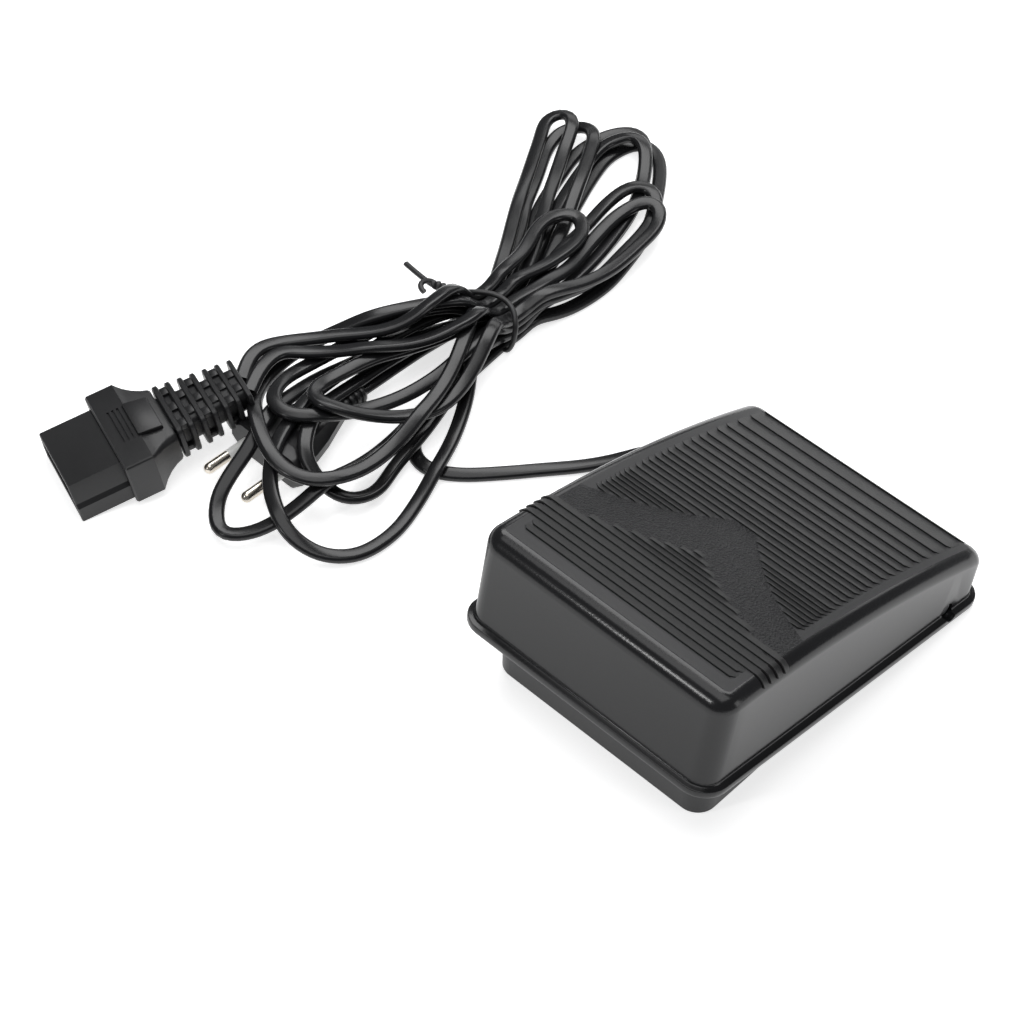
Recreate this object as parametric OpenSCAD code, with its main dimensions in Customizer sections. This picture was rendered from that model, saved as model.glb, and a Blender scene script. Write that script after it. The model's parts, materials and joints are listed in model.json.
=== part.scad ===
// Foot pedal of a domestic sewing machine: a hinged cover over a shallow base, with a speed
// control inside, and two flat cords that end in a machine connector and a two-pin mains plug.
// X runs across the pedal, +Y points to the raised toe end, and Z is up from the floor.

/* [Cover] */
// Length of the cover over its rim
cover_len = 145; // [136:1:150]
// Width of the cover over its rim
cover_w = 103; // [96:1:106]
// Height of the tread's highest point over the underside of the rim
cover_h = 37.5; // [36:0.5:40]
// Radius of the tread, which is curved from heel to toe
tread_r = 440; // [400:10:500]
// Thickness of the cover's walls
cover_wall = 2.3; // [2:0.1:2.4]
// How far the rim stands out
rim_out = 2.4; // [2:0.1:3]
// Thickness of the rim
rim_t = 2.6; // [2.4:0.1:3]
// Height of one tread rib
rib_h = 0.5; // [0.3:0.1:0.7]

/* [Hinge] */
// How far the toe stands up at rest, in degrees
lift = 9.6; // [8:0.1:9.6]
// Diameter of the hinge pin
pin_d = 4; // [3.6:0.1:4.4]
// Height of the hinge pin over the floor
pin_z = 8; // [8:0.1:8.4]

/* [Base] */
// Length of the base tray
base_len = 124; // [122:1:126]
// Width of the base tray
base_w = 86.6; // [85:0.2:87]
// Thickness of the tray's walls and floor
base_wall = 2.2; // [2:0.1:2.4]
// Height of the tray's wall at the heel
base_heel_h = 11; // [10:0.5:12]
// Height of the tray's wall at the toe
base_toe_h = 28; // [26:0.5:29]

/* [Speed control] */
// Pitch radius of the sector on the cover
sector_r = 60; // [60:1:60]
// Teeth on the small pinion
pinion_teeth = 12; // [12:1:12]

/* [Cords] */
// Width of the flat cord
cord_w = 5.4; // [5:0.1:5.6]
// Thickness of the flat cord
cord_t = 3; // [2.8:0.1:3.2]

/* [Hidden] */
$fn = 48;
eps = 0.01;

// Hinge and cover, in the cover's own frame: its origin is on the hinge axis and its rim is level
hinge_y = -52;
rim_drop = 4.1;                       // hinge axis over the underside of the rim
cover_mid = 52.25;                    // middle of the cover, from the hinge
peak_y = 105;                         // highest point of the tread, from the hinge
side_round = 4.5;
toe_round = 6;
heel_round = 7;
body_len = cover_len - 2 * rim_out - 0.2;
body_w = cover_w - 2 * rim_out;
heel_wall = cover_mid - body_len / 2;
toe_wall = cover_mid + body_len / 2;
tread_z = cover_h - rim_drop;
tread_c = tread_z - tread_r;          // height of the tread's centre of curvature

// Tread ribs, as distances from the middle of the cover towards the toe
outer_pitch = [8.4, 7.6, 6.3, 5.4, 5.5, 4.3, 4.4, 4.3, 4.3, 3.7, 3.3, 3.3, 3.3, 3.2, 3.2, 3.3,
    2.3, 2.3, 2.1, 2.3, 2.3, 2.3, 2.2, 2.3];
inner_pitch = [2.3, 2.3, 2.2, 2.5, 2.3, 2.9, 3.2, 3.4, 3.3, 3.2, 3.3, 3.2];
first_outer = -63.5;
first_inner = 24.9;
field_w = 83.6;                       // width of the ribbed field
apex_y = 2.5;                         // the plain chevron's apex, from the cover's middle
apex_in = 23.9;                       // and the inner apex of its V
wrap_ribs = [7, 8, 9, 10];           // inner ribs that run on over both side edges

// Base
foot_h = 1;
base_z = foot_h;
foot_x = 34;
foot_y = 52;
foot_r = 6;
boss_r = 5;
floor_z = base_z + base_wall;

// Board and its parts
board_z = 7;
board_t = 1.6;
board_top = board_z + board_t;
board_x = [-34, 24];
board_y = [-44, 22];
board_holes = [[-30, -20], [-30, 18], [20, -20], [20, 18]];

// Potentiometer: its axis is parallel to the hinge
mesh_angle = 9;
pinion_r = sector_r * pinion_teeth / 120;
gear_gap = sector_r + pinion_r;
pot_y = hinge_y + gear_gap * cos(mesh_angle);
pot_z = pin_z + gear_gap * sin(mesh_angle);
tooth_step = 360 / 120;
shaft_r = 3;

// Springs and stop
spring_x = 28;
spring_y = 46;
spring_r = 5.6;
spring_wire = 1.2;
spring_top = 35.6;
spring_turns = 7;
seat_y = 99.2;
seat_z = 12;
stop_y = 104;
stop_z = 22;

// Where the cord leaves the base
gland_y = -38;
gland_z = 8.5;
gland_r = 4;
boot_end = 62;

// Machine connector: origin at the middle of the front of its grip, +Y towards the machine
conn_at = [193, 92.3, 10.5];
conn_turn = [-9.2, 0, -18.7];
grip_w = 38;
grip_t = 18;
grip_l = 10.6;
nose_l = 19;
nose_w = 27;
nose_t = 15;
boot_l = 29.5;
shoulder_l = 10;

// Mains plug: origin at the middle of its front face, +Y along its pins
plug_at = [156.6, 55.5, 7];
plug_w = 35.3;
plug_t = 13.7;
wing_l = 5.6;
plug_l = 26.4;
pin_gap = 18.6;

// Routes of the cords where they lie open, chosen by hand
pedal_route = [[62.2, -38, 8.5], [65, -38, 8.3], [70, -35.2, 6], [74, -31, 3.8], [78, -26.4, 2.2],
    [82, -21.6, 1.6], [87, -15.6, 1.6], [92, -9.6, 1.6], [97, -4, 1.6], [101.4, 1.6, 1.6],
    [105.4, 4.4, 1.6], [109.6, 6.6, 1.6]];
lead_a = [[173.9, 46.4, 18.8], [171.8, 40, 19.6], [169.5, 30, 19.6], [166, 18, 18.6],
    [162, 6, 16.6], [158.5, -6, 14], [156.5, -16, 11.6]];
lead_b = [[180.1, 44.2, 18.8], [178, 38, 19.6], [175.8, 28, 19.6], [172.8, 15, 18.6],
    [169, 4, 16.8], [165.3, -8, 14], [163.2, -17, 11.6]];
plug_route = [[156.6, 10.7, 7], [156.6, 6, 6.6], [156.4, 0, 6], [156, -6, 6]];

// Hank: the rounded outlines of its two lobes and its neck, and the tie round the neck
neck_y = -50;
neck_x = 150;
neck_w = 24;
hank_h = 15;
tie_t = 1.2;
tie_l = 3.2;

// ---------- shapes used by several sub-parts ----------

module rounded_rect(l, w, r) {
    square([w - 2 * r, l], center = true);
    square([w, l - 2 * r], center = true);
    for (x = [-1, 1], y = [-1, 1]) translate([x * (w / 2 - r), y * (l / 2 - r)]) circle(r);
}

module bar_x(x0, x1, r) { translate([x0, 0, 0]) rotate([0, 90, 0]) cylinder(r = r, h = x1 - x0); }

module screw(r, length, head_r, head_h) {
    translate([0, 0, -length]) cylinder(r = r, h = length + eps);
    difference() {
        cylinder(r = head_r, h = head_h);
        for (a = [0, 90]) rotate([0, 0, a])
            translate([-head_r * 0.7, -0.35, head_h * 0.55]) cube([head_r * 1.4, 0.7, head_h]);
    }
}

// Cover frame to the row's frame, at rest with the toe up
module on_cover() { translate([0, hinge_y, pin_z]) rotate([lift, 0, 0]) children(); }

// One closed tube along points, with a flat oval section of width w and thickness t
function unit(v) = v / norm(v);
function heading(p, i) = unit(p[min(i + 1, len(p) - 1)] - p[max(i - 1, 0)]);
function ring(p, i, w, t, sides, up) =
    let (f = heading(p, i), s = unit(cross(f, up)), u = cross(s, f))
    [for (k = [0:sides - 1]) let (a = (k + 0.5) * 360 / sides, q = 1 / cos(180 / sides))
        p[i] + s * cos(a) * w / 2 * q + u * sin(a) * t / 2 * q];
module tube(p, w, t, sides = 8, up = [0, 0, 1]) {
    n = len(p);
    pts = [for (i = [0:n - 1]) each ring(p, i, w, t, sides, up)];
    quads = [for (i = [0:n - 2], k = [0:sides - 1]) let (j = (k + 1) % sides)
        [i * sides + k, i * sides + j, (i + 1) * sides + j, (i + 1) * sides + k]];
    caps = [[for (k = [sides - 1:-1:0]) k], [for (k = [0:sides - 1]) (n - 1) * sides + k]];
    polyhedron(points = pts, faces = concat(quads, caps), convexity = 6);
}

// A gear tooth standing on the pitch radius r along +X, with straight flanks
module tooth(r, add, ded, half_pitch, half_tip, half_root) {
    polygon([[r - ded, -half_root], [r, -half_pitch], [r + add, -half_tip],
        [r + add, half_tip], [r, half_pitch], [r - ded, half_root]]);
}

// ---------- cover ----------

// Solid inside the cover's outer faces, moved inwards by g, with its rounded edges
module cover_form(g) {
    r = tread_r - g;
    w = body_w / 2 - g;
    e = side_round - g;
    toe_e = toe_round - g;
    heel_e = heel_round - g;
    toe_y = toe_wall - g - toe_e;
    heel_y = heel_wall + g + heel_e;
    toe_z = tread_c + sqrt(pow(r - toe_e, 2) - pow(toe_y - peak_y, 2));
    heel_z = tread_c + sqrt(pow(r - heel_e, 2) - pow(heel_y - peak_y, 2));
    toe_a = asin((toe_y - peak_y) / (r - toe_e));
    heel_a = asin((heel_y - peak_y) / (r - heel_e));
    intersection() {
        translate([0, peak_y, tread_c]) rotate([0, 90, 0]) rotate_extrude($fn = 200) {
            translate([0, -w]) square([r - e, 2 * w]);
            translate([0, -w + e]) square([r, 2 * (w - e)]);
            for (s = [-1, 1]) translate([r - e, s * (w - e)]) circle(e);
        }
        translate([0, cover_mid, -rim_drop]) linear_extrude(60)
            rounded_rect(body_len - 2 * g, body_w - 2 * g, 7 - g);
        rotate([90, 0, 90]) linear_extrude(body_w, center = true) {
            polygon([[toe_wall - g, -40], [toe_wall - g, toe_z], [toe_y, toe_z],
                [toe_y + 60 * sin(toe_a), toe_z + 60 * cos(toe_a)],
                [heel_y + 60 * sin(heel_a), heel_z + 60 * cos(heel_a)],
                [heel_y, heel_z], [heel_wall + g, heel_z], [heel_wall + g, -40]]);
            translate([toe_y, toe_z]) circle(toe_e);
            translate([heel_y, heel_z]) circle(heel_e);
        }
    }
}

function running_sum(v, n) = n == 0 ? 0 : v[n - 1] + running_sum(v, n - 1);
function tread_at(y) = tread_c + sqrt(pow(tread_r, 2) - pow(y - peak_y, 2));
// Half width of the plain chevron at the height y of the field, from its two edges
function chevron_out(t) = 5 + t * (0.93 + 0.00072 * t * t);
function chevron_in(t) = t * (1.55 + 0.035 * t);

// One tread rib: its riser faces the toe and it slopes away towards the heel
module rib(y, x0, x1, run) {
    z = tread_at(y);
    a = asin((y - peak_y) / tread_r);
    if (x1 - x0 > 1) translate([(x0 + x1) / 2, y, z]) rotate([-a, 0, 0])
        rotate([90, 0, 90]) linear_extrude(x1 - x0, center = true)
            polygon([[0, -0.6], [0, rib_h], [-run, 0], [-run, -0.6]]);
}

module tread_ribs() {
    half = field_w / 2;
    for (i = [0:len(outer_pitch)]) {
        y = first_outer + running_sum(outer_pitch, i);
        gap = y < apex_y ? 0 : chevron_out(y - apex_y);
        run = i == 0 ? 2 : 0.8 * outer_pitch[i - 1];
        if (gap == 0) rib(cover_mid + y, -half, half, run);
        else for (s = [[-half, -gap], [gap, half]]) rib(cover_mid + y, s[0], s[1], run);
    }
    for (i = [0:len(inner_pitch)]) {
        y = first_inner + running_sum(inner_pitch, i);
        wide = len([for (k = wrap_ribs) if (k == i) k]) > 0 ? body_w / 2 - side_round + 1 : half;
        x = min(wide, max(chevron_in(y - apex_in), 2));
        rib(cover_mid + y, -x, x, 0.8 * inner_pitch[max(i - 1, 0)]);
    }
}

module pedal_cover() color([0.07, 0.07, 0.075]) on_cover() difference() {
    union() {
        difference() {
            union() {
                cover_form(0);
                translate([0, cover_mid, -rim_drop]) linear_extrude(rim_t)
                    rounded_rect(cover_len, cover_w, 9.4);
            }
            cover_form(cover_wall);
            translate([0, cover_mid, -rim_drop - 1]) linear_extrude(1 + eps)
                rounded_rect(body_len - 2 * cover_wall, body_w - 2 * cover_wall, 7 - cover_wall);
        }
        tread_ribs();
        intersection() {
            cover_form(cover_wall / 2);
            union() {
                for (s = [-1, 1]) translate([s * spring_x, seat_y, seat_z])
                    rotate([-lift / 2, 0, 0]) cylinder(r = 7.5, h = 40);
                translate([0, stop_y, stop_z + 0.2 - pin_z]) cylinder(r = 5, h = 40);
                translate([-8, 42, 24]) cube([16, 20, 20]);
            }
        }
        for (s = [0, 1]) mirror([s, 0, 0])
            bar_x(body_w / 2 - cover_wall - 1, body_w / 2 - cover_wall + eps, 5);
    }
    bar_x(-body_w, body_w, pin_d / 2 + 0.05);
    for (s = [0, 1]) mirror([s, 0, 0]) {
        bar_x(body_w / 2 - 1.2, body_w, 2.8);
        translate([body_w / 2 - 1.2, -2.8, rim_t - rim_drop]) cube([10, 5.6, rim_drop - rim_t]);
    }
    translate([0, gland_y - hinge_y, gland_z - pin_z]) {
        bar_x(body_w / 2 - cover_wall - 1, body_w, 5.4);
        translate([body_w / 2 - cover_wall - 1, -5.4, -10]) cube([20, 10.8, 10]);
    }
    for (s = [-1, 1]) translate([s * 5.5, 52 + s * 7, 23]) cylinder(r = 1.1, h = 5);
}

// ---------- hinge, springs and stop ----------

module hinge_pin() color([0.75, 0.75, 0.77]) translate([0, hinge_y, pin_z])
    bar_x(-body_w / 2 + 0.7, body_w / 2 - 0.7, pin_d / 2);

module hinge_clips() color([0.6, 0.6, 0.62]) for (s = [0, 1]) mirror([s, 0, 0])
    translate([0, hinge_y, pin_z]) difference() {
        bar_x(35.2, 36, 4);
        bar_x(35, 36.2, pin_d / 2);
        translate([34, -1.2, -6]) cube([3, 2.4, 6]);
    }

module return_springs() color([0.7, 0.7, 0.72]) for (s = [-1, 1]) {
    n = spring_turns * 12;
    z0 = floor_z + spring_wire / 2 + 0.1;
    z1 = spring_top - spring_wire / 2 - 0.1;
    slow = spring_wire * 1.2 / 12;
    rise = (z1 - z0 - 24 * slow) / (n - 24);
    p = [for (i = [0:n]) let (a = i * 30)
        [s * spring_x + spring_r * cos(a), spring_y + spring_r * sin(a),
            z0 + slow * (min(i, 12) + max(0, i - n + 12)) + rise * max(0, min(i - 12, n - 24))]];
    tube(p, spring_wire, spring_wire, 6);
}

module travel_stop() color([0.1, 0.1, 0.1]) translate([0, stop_y + hinge_y, stop_z - 4])
    difference() {
        cylinder(r = 5, h = 4);
        translate([0, 0, 2.4]) cylinder(r = 2, h = 2);
    }

// ---------- base ----------

module base_post(x, y, r, top, hole) translate([x, y, floor_z - eps]) difference() {
    cylinder(r = r, h = top - floor_z + eps);
    if (hole > 0) translate([0, 0, 1]) cylinder(r = hole, h = top);
}

module base_tray() color([0.09, 0.09, 0.095]) difference() {
    union() {
        difference() {
            translate([0, 0, base_z]) linear_extrude(40) rounded_rect(base_len, base_w, 7);
            translate([0, 0, floor_z]) linear_extrude(40)
                rounded_rect(base_len - 2 * base_wall, base_w - 2 * base_wall, 7 - base_wall);
            rotate([90, 0, 90]) linear_extrude(base_w + 10, center = true)
                polygon([[-base_len, base_heel_h - 8.5], [base_len, base_toe_h + 8.5],
                    [base_len, 90], [-base_len, 90]]);
        }
        for (s = [0, 1]) mirror([s, 0, 0]) {
            translate([0, hinge_y, pin_z]) bar_x(36, base_w / 2 - 1, boss_r);
            translate([36, hinge_y - boss_r + 1, floor_z - eps])
                cube([base_w / 2 - 37, 2 * boss_r - 2, pin_z - floor_z]);
            base_post(spring_x, spring_y, 3.8, 9, 0);
        }
        base_post(0, stop_y + hinge_y, 6, stop_z - 4, 0);
        for (h = board_holes) base_post(h[0], h[1], 3, board_z, 1.2);
        for (y = [-6.5, 6.5]) base_post(34, gland_y + y, 2.8, gland_z + cord_t / 2, 1.2);
    }
    translate([0, hinge_y, pin_z]) bar_x(-base_w, base_w, pin_d / 2);
    translate([0, gland_y, gland_z]) bar_x(base_w / 2 - 5, base_w, gland_r);
    for (x = [-1, 1], y = [-1, 1]) translate([x * foot_x, y * foot_y, base_z - 1])
        cylinder(r = foot_r, h = 2.2);
}

module rubber_feet() color([0.12, 0.12, 0.12]) for (x = [-1, 1], y = [-1, 1])
    translate([x * foot_x, y * foot_y, 0]) difference() {
        cylinder(r = foot_r, h = 2.2);
        translate([0, 0, -1]) cylinder(r = 2.2, h = 1.8);
    }

// ---------- speed control ----------

module circuit_board() color([0.1, 0.35, 0.16]) difference() {
    translate([board_x[0], board_y[0], board_z])
        cube([board_x[1] - board_x[0], board_y[1] - board_y[0], board_t]);
    for (h = board_holes) translate([h[0], h[1], board_z - 1]) cylinder(r = 1.6, h = 4);
    translate([-4, -5, board_z - 1]) cube([8, 16, 4]);
}

module board_screws() color([0.7, 0.7, 0.72]) for (h = board_holes)
    translate([h[0], h[1], board_top]) screw(1.2, board_t + 2.6, 2.7, 1.6);

module heat_sink() color([0.75, 0.76, 0.78]) difference() {
    union() {
        translate([-32, -26, board_top]) cube([20, 2, 17]);
        for (i = [0:5]) translate([-31.6 + i * 3.7, -31, board_top]) cube([1, 5 + eps, 17]);
    }
    translate([-22, -20, board_top + 13.5]) rotate([90, 0, 0]) cylinder(r = 1.4, h = 5.2);
}

module triac() color([0.08, 0.08, 0.08]) difference() {
    union() {
        translate([-27, -24, board_top + 3]) cube([10, 4.4, 7.8]);
        translate([-27, -24, board_top + 3]) cube([10, 1.3, 13.4]);
        for (x = [-24.6, -22, -19.4]) translate([x - 0.4, -21.6, board_top]) cube([0.8, 0.6, 4]);
    }
    translate([-22, -20, board_top + 13.5]) rotate([90, 0, 0]) cylinder(r = 1.6, h = 8);
}

module triac_screw() color([0.7, 0.7, 0.72]) translate([-22, -22.7, board_top + 13.5])
    rotate([-90, 0, 0]) screw(1.4, 2.4, 2.5, 1.6);

module suppressor_capacitor() color([0.75, 0.6, 0.1])
    translate([-8, -32, board_top]) cube([18, 8, 12]);

module timing_capacitors() color([0.15, 0.2, 0.45]) {
    translate([-26, -6, board_top]) cylinder(r = 4, h = 10);
    translate([-15, -6, board_top]) cylinder(r = 3.2, h = 8);
}

module resistors() color([0.75, 0.65, 0.5]) for (i = [0:2])
    translate([-8 + i * 4.6, -16, board_top + 2.2]) {
        rotate([-90, 0, 0]) cylinder(r = 1.2, h = 7);
        for (y = [-1.4, 8.4]) translate([0, y, -2.2]) cylinder(r = 0.35, h = 2.55, $fn = 24);
        translate([0, -1.6, 0]) rotate([-90, 0, 0]) cylinder(r = 0.35, h = 10.2, $fn = 24);
    }

module choke_core() color([0.25, 0.25, 0.27]) translate([-20, 9, board_top + 1])
    rotate_extrude() translate([4.6, 0]) square([4.2, 6.6]);

module choke_winding() color([0.72, 0.4, 0.2]) translate([-20, 9, board_top]) {
    for (a = [0, 180]) rotate([0, 0, a + 15]) rotate_extrude(angle = 150) difference() {
        translate([3.6, 0]) square([6.2, 8.6]);
        translate([4.6, 1]) square([4.2, 6.6]);
    }
}

module terminal_block() color([0.1, 0.3, 0.15]) difference() {
    translate([14, -42, board_top]) cube([10, 8, 9]);
    for (y = [-40, -36]) translate([18, y, board_top + 6]) cylinder(r = 1.4, h = 4);
}

module terminal_screws() color([0.75, 0.7, 0.5]) for (y = [-40, -36])
    translate([18, y, board_top + 6]) cylinder(r = 1.4, h = 2);

module potentiometer() color([0.2, 0.2, 0.22]) difference() {
    union() {
        translate([0, pot_y, pot_z]) { bar_x(8, 16, 8); bar_x(4.6, 8, 3.5); }
        translate([14.2, pot_y - 5, board_top]) cube([1.6, 10, 4]);
    }
    translate([0, pot_y, pot_z]) bar_x(4, 13, shaft_r + 0.05);
}

module pot_bracket() color([0.7, 0.7, 0.72]) difference() {
    union() {
        translate([6.8, pot_y - 9, board_top]) cube([1.2, 18, pot_z - board_top + 8]);
        translate([8 - eps, pot_y - 9, board_top]) cube([5, 18, 1.2]);
    }
    translate([0, pot_y, pot_z]) bar_x(6, 9, 3.5);
}

module pot_nut() color([0.75, 0.75, 0.77]) translate([0, pot_y, pot_z]) difference() {
    translate([5.2, 0, 0]) rotate([0, 90, 0]) cylinder(r = 5.4, h = 1.6, $fn = 6);
    bar_x(5, 7, 3.5);
}

module pot_shaft() color([0.8, 0.8, 0.78]) translate([0, pot_y, pot_z])
    bar_x(-4.4, 12.8, shaft_r);

module drive_pinion() color([0.9, 0.88, 0.8]) translate([0, pot_y, pot_z])
    rotate([90 + mesh_angle + 180 + 15, 0, 0]) rotate([0, 90, 0]) rotate([0, 0, 90]) difference() {
        linear_extrude(7, center = true) {
            circle(pinion_r - 1);
            for (i = [0:pinion_teeth - 1]) rotate(i * 360 / pinion_teeth)
                tooth(pinion_r, 0.8, 1.3, 0.62, 0.34, 1);
        }
        cylinder(r = shaft_r, h = 8, center = true);
    }

// The toothed sector hangs under the tread and turns about the hinge axis
module sector_gear() color([0.9, 0.88, 0.8]) on_cover() {
    low = -4.2;
    high = 12.6;
    first = mesh_angle - lift;
    difference() {
        rotate([90, 0, 90]) linear_extrude(4, center = true) {
            intersection() {
                difference() { circle(sector_r - 1); circle(sector_r - 9); }
                polygon([[0, 0], [80 * cos(low), 80 * sin(low)], [80 * cos(high), 80 * sin(high)]]);
            }
            for (k = [-1:4]) rotate(first + k * tooth_step)
                tooth(sector_r, 0.8, 1.4, 0.62, 0.34, 1.1);
            polygon([[48.5, 6], [57.4, 9], [57.4, 23], [46.5, 23]]);
        }
    }
    difference() {
        translate([-8, 42, 22]) cube([16, 20, 2]);
        for (s = [-1, 1]) translate([s * 5.5, 52 + s * 7, 21]) cylinder(r = 1.4, h = 4);
    }
}

module sector_screws() color([0.7, 0.7, 0.72]) on_cover() for (s = [-1, 1])
    translate([s * 5.5, 52 + s * 7, 22]) rotate([180, 0, 0]) screw(1.1, 6, 2.2, 1.5);

// ---------- cord inside the pedal ----------

module cord_clamp() color([0.12, 0.12, 0.13]) difference() {
    translate([31, gland_y - 9.5, gland_z + cord_t / 2]) cube([6, 19, 2.4]);
    for (y = [-6.5, 6.5]) translate([34, gland_y + y, gland_z]) cylinder(r = 1.5, h = 6);
}

module clamp_screws() color([0.7, 0.7, 0.72]) for (y = [-6.5, 6.5])
    translate([34, gland_y + y, gland_z + cord_t / 2 + 2.4]) screw(1.2, 6, 2.6, 1.5);

module cord_tail() color([0.08, 0.08, 0.08])
    translate([27, gland_y - cord_w / 2, gland_z - cord_t / 2]) cube([12.3, cord_w, cord_t]);

module lead_wires() color([0.6, 0.4, 0.2]) for (s = [-1, 1])
    translate([0, gland_y + s * 1.3, gland_z + 0.7]) bar_x(24, 27, 0.8);

module cord_grommet() color([0.09, 0.09, 0.09]) translate([0, gland_y, gland_z]) difference() {
    union() {
        bar_x(39.3, base_w / 2 - base_wall, 5.2);
        bar_x(base_w / 2 - base_wall - eps, base_w / 2 + eps, gland_r);
        translate([base_w / 2, 0, 0]) rotate([0, 90, 0])
            cylinder(r1 = 4.6, r2 = 3.6, h = boot_end - base_w / 2);
    }
    for (x = [47.5:3:59.5]) for (s = [-1, 1])
        translate([x, s * 5.4 - 2.5, -5]) cube([1.4, 5, 10]);
}

// ---------- free cords ----------

module pedal_cord() color([0.08, 0.08, 0.08]) tube(pedal_route, cord_w, cord_t);

module connector_leads() color([0.08, 0.08, 0.08]) {
    tube(lead_a, cord_w, cord_t);
    tube(lead_b, cord_w, cord_t);
}

module plug_lead() color([0.08, 0.08, 0.08]) tube(plug_route, cord_w, cord_t);

module tie_band(g) translate([neck_x, neck_y, hank_h / 2]) rotate([90, 0, 0])
    linear_extrude(tie_l + 2 * g, center = true)
        difference() {
            rounded_rect(hank_h, neck_w, 5);
            rounded_rect(hank_h - 2 * tie_t, neck_w - 2 * tie_t, 5 - tie_t);
        }

module cord_hank() color([0.08, 0.08, 0.08]) difference() {
    union() {
        linear_extrude(hank_h) hull() {
            translate([neck_x, neck_y]) circle(10, $fn = 32);
            translate([201, -140]) circle(7, $fn = 32);
            translate([178, -152]) circle(8, $fn = 32);
            translate([140, -112]) circle(8, $fn = 32);
        }
        linear_extrude(hank_h) hull() {
            translate([neck_x, neck_y]) circle(10, $fn = 32);
            translate([171, 22]) circle(6, $fn = 32);
            translate([138, 76]) circle(8, $fn = 32);
            translate([114, 60]) circle(10, $fn = 32);
            translate([110, 24]) circle(8, $fn = 32);
        }
        translate([neck_x, neck_y, hank_h / 2]) cube([neck_w, 24, hank_h], center = true);
    }
    tie_band(0.1);
    translate([136, -6.8, -1]) cube([41, 101, hank_h + 2]);
    translate([150, -18.2, 8.6]) cube([40, 61, 20]);
}

module twist_tie() color([0.1, 0.1, 0.1]) {
    tie_band(0);
    translate([neck_x + neck_w / 2 - eps, neck_y, 9.5]) {
        bar_x(0, 10, 1);
        translate([9, 0, 0]) rotate([0, 0, 4]) translate([0, -1.1, -0.4]) cube([17, 2.2, 0.8]);
    }
}

// ---------- machine connector ----------

module on_connector() { translate(conn_at) rotate(conn_turn) children(); }

module grip_outline(l, w) {
    square([w, l], center = true);
}

module connector_body() color([0.1, 0.1, 0.105]) on_connector() difference() {
    union() {
        translate([-grip_w / 2, -grip_l, -grip_t / 2]) cube([grip_w, grip_l, grip_t]);
        rotate([90, 0, 0]) translate([0, 0, grip_l - eps]) linear_extrude(shoulder_l, scale = 0.62)
            grip_outline(grip_t, grip_w);
        translate([-11.5, -grip_l - 1, grip_t / 2 - eps]) cube([23, 9, 1.4]);
        rotate([-90, 0, 0]) linear_extrude(nose_l) nose_outline(0);
    }
    rotate([-90, 0, 0]) translate([0, 0, 2]) linear_extrude(nose_l) nose_outline(2);
    for (i = [0:2]) translate([-12, -grip_l + 1 + i * 2.2, grip_t / 2 + 0.6]) cube([24, 0.9, 2]);
}

// Section of the connector's nose: the top is narrow and the flanks step outwards below
module nose_outline(g) polygon([[-nose_w / 2 + g, -nose_t / 2 + g],
    [nose_w / 2 - g, -nose_t / 2 + g], [nose_w / 2 + 2.2 - g, -1], [nose_w / 2 + 3.6 - g, 1.5],
    [nose_w / 2 + 3.6 - g, nose_t / 2 - g], [-nose_w / 2 - 3.6 + g, nose_t / 2 - g],
    [-nose_w / 2 - 3.6 + g, 1.5], [-nose_w / 2 - 2.2 + g, -1]]);

module connector_insert() color([0.13, 0.13, 0.14]) on_connector() difference() {
    rotate([-90, 0, 0]) translate([0, 0, 2]) linear_extrude(nose_l - 3) nose_outline(2);
    for (i = [-1, 0, 1]) translate([i * 8.6, 3, i == 0 ? 2 : -1.5]) rotate([-90, 0, 0])
        cylinder(r = 2.2, h = nose_l);
}

module connector_contacts() color([0.8, 0.65, 0.3]) on_connector() for (i = [-1, 0, 1])
    translate([i * 8.6, 3, i == 0 ? 2 : -1.5]) rotate([-90, 0, 0]) difference() {
        cylinder(r = 2.2, h = nose_l - 6);
        translate([0, 0, 1.5]) cylinder(r = 1.5, h = nose_l);
    }

// Ribbed strain relief behind the grip
module connector_boot() color([0.1, 0.1, 0.105]) on_connector()
    translate([0, -grip_l - shoulder_l + eps, 0]) rotate([90, 0, 0]) difference() {
        linear_extrude(boot_l, scale = 0.8) rounded_rect(14, 24, 4);
        for (i = [0:6], s = [-1, 1]) {
            w = 12.2 - i * 0.34;
            translate([s * w, 0, 2.4 + i * 4]) cube([4, 20, 2], center = true);
            translate([0, s * (6.8 - i * 0.2), 4.4 + i * 3.6]) cube([6, 3, 1.8], center = true);
        }
    }

// ---------- mains plug ----------

module on_plug() { translate(plug_at) rotate([90, 0, 0]) children(); }

module plug_outline(w) polygon([[-w / 2, -1.5], [-w / 2 + 5, -plug_t / 2],
    [w / 2 - 5, -plug_t / 2], [w / 2, -1.5], [w / 2, 1.5], [w / 2 - 5, plug_t / 2],
    [-w / 2 + 5, plug_t / 2], [-w / 2, 1.5]]);

module plug_body() color([0.09, 0.09, 0.095]) on_plug() difference() {
    union() {
        linear_extrude(wing_l) plug_outline(plug_w);
        translate([0, 0, wing_l - eps]) linear_extrude(plug_l, scale = [0.42, 0.7])
            plug_outline(27.4);
        translate([0, 0, wing_l + plug_l - 0.1]) linear_extrude(12.6) rounded_rect(6.6, 8.8, 2.4);
    }
    for (s = [-1, 1]) translate([s * pin_gap / 2, 0, -1]) cylinder(r = 1.95, h = 11);
    for (i = [0:2], s = [-1, 1])
        translate([s * 5, 0, wing_l + plug_l + 2 + i * 3.4]) cube([3, 12, 1.5], center = true);
}

module plug_pins() color([0.8, 0.78, 0.75]) on_plug() for (s = [-1, 1])
    translate([s * pin_gap / 2, 0, 0]) {
        translate([0, 0, -19 + 2]) cylinder(r = 2, h = 8.001);
        translate([0, 0, -9]) cylinder(r = 1.4, h = 19);
        translate([0, 0, -17]) sphere(r = 2);
    }

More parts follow.
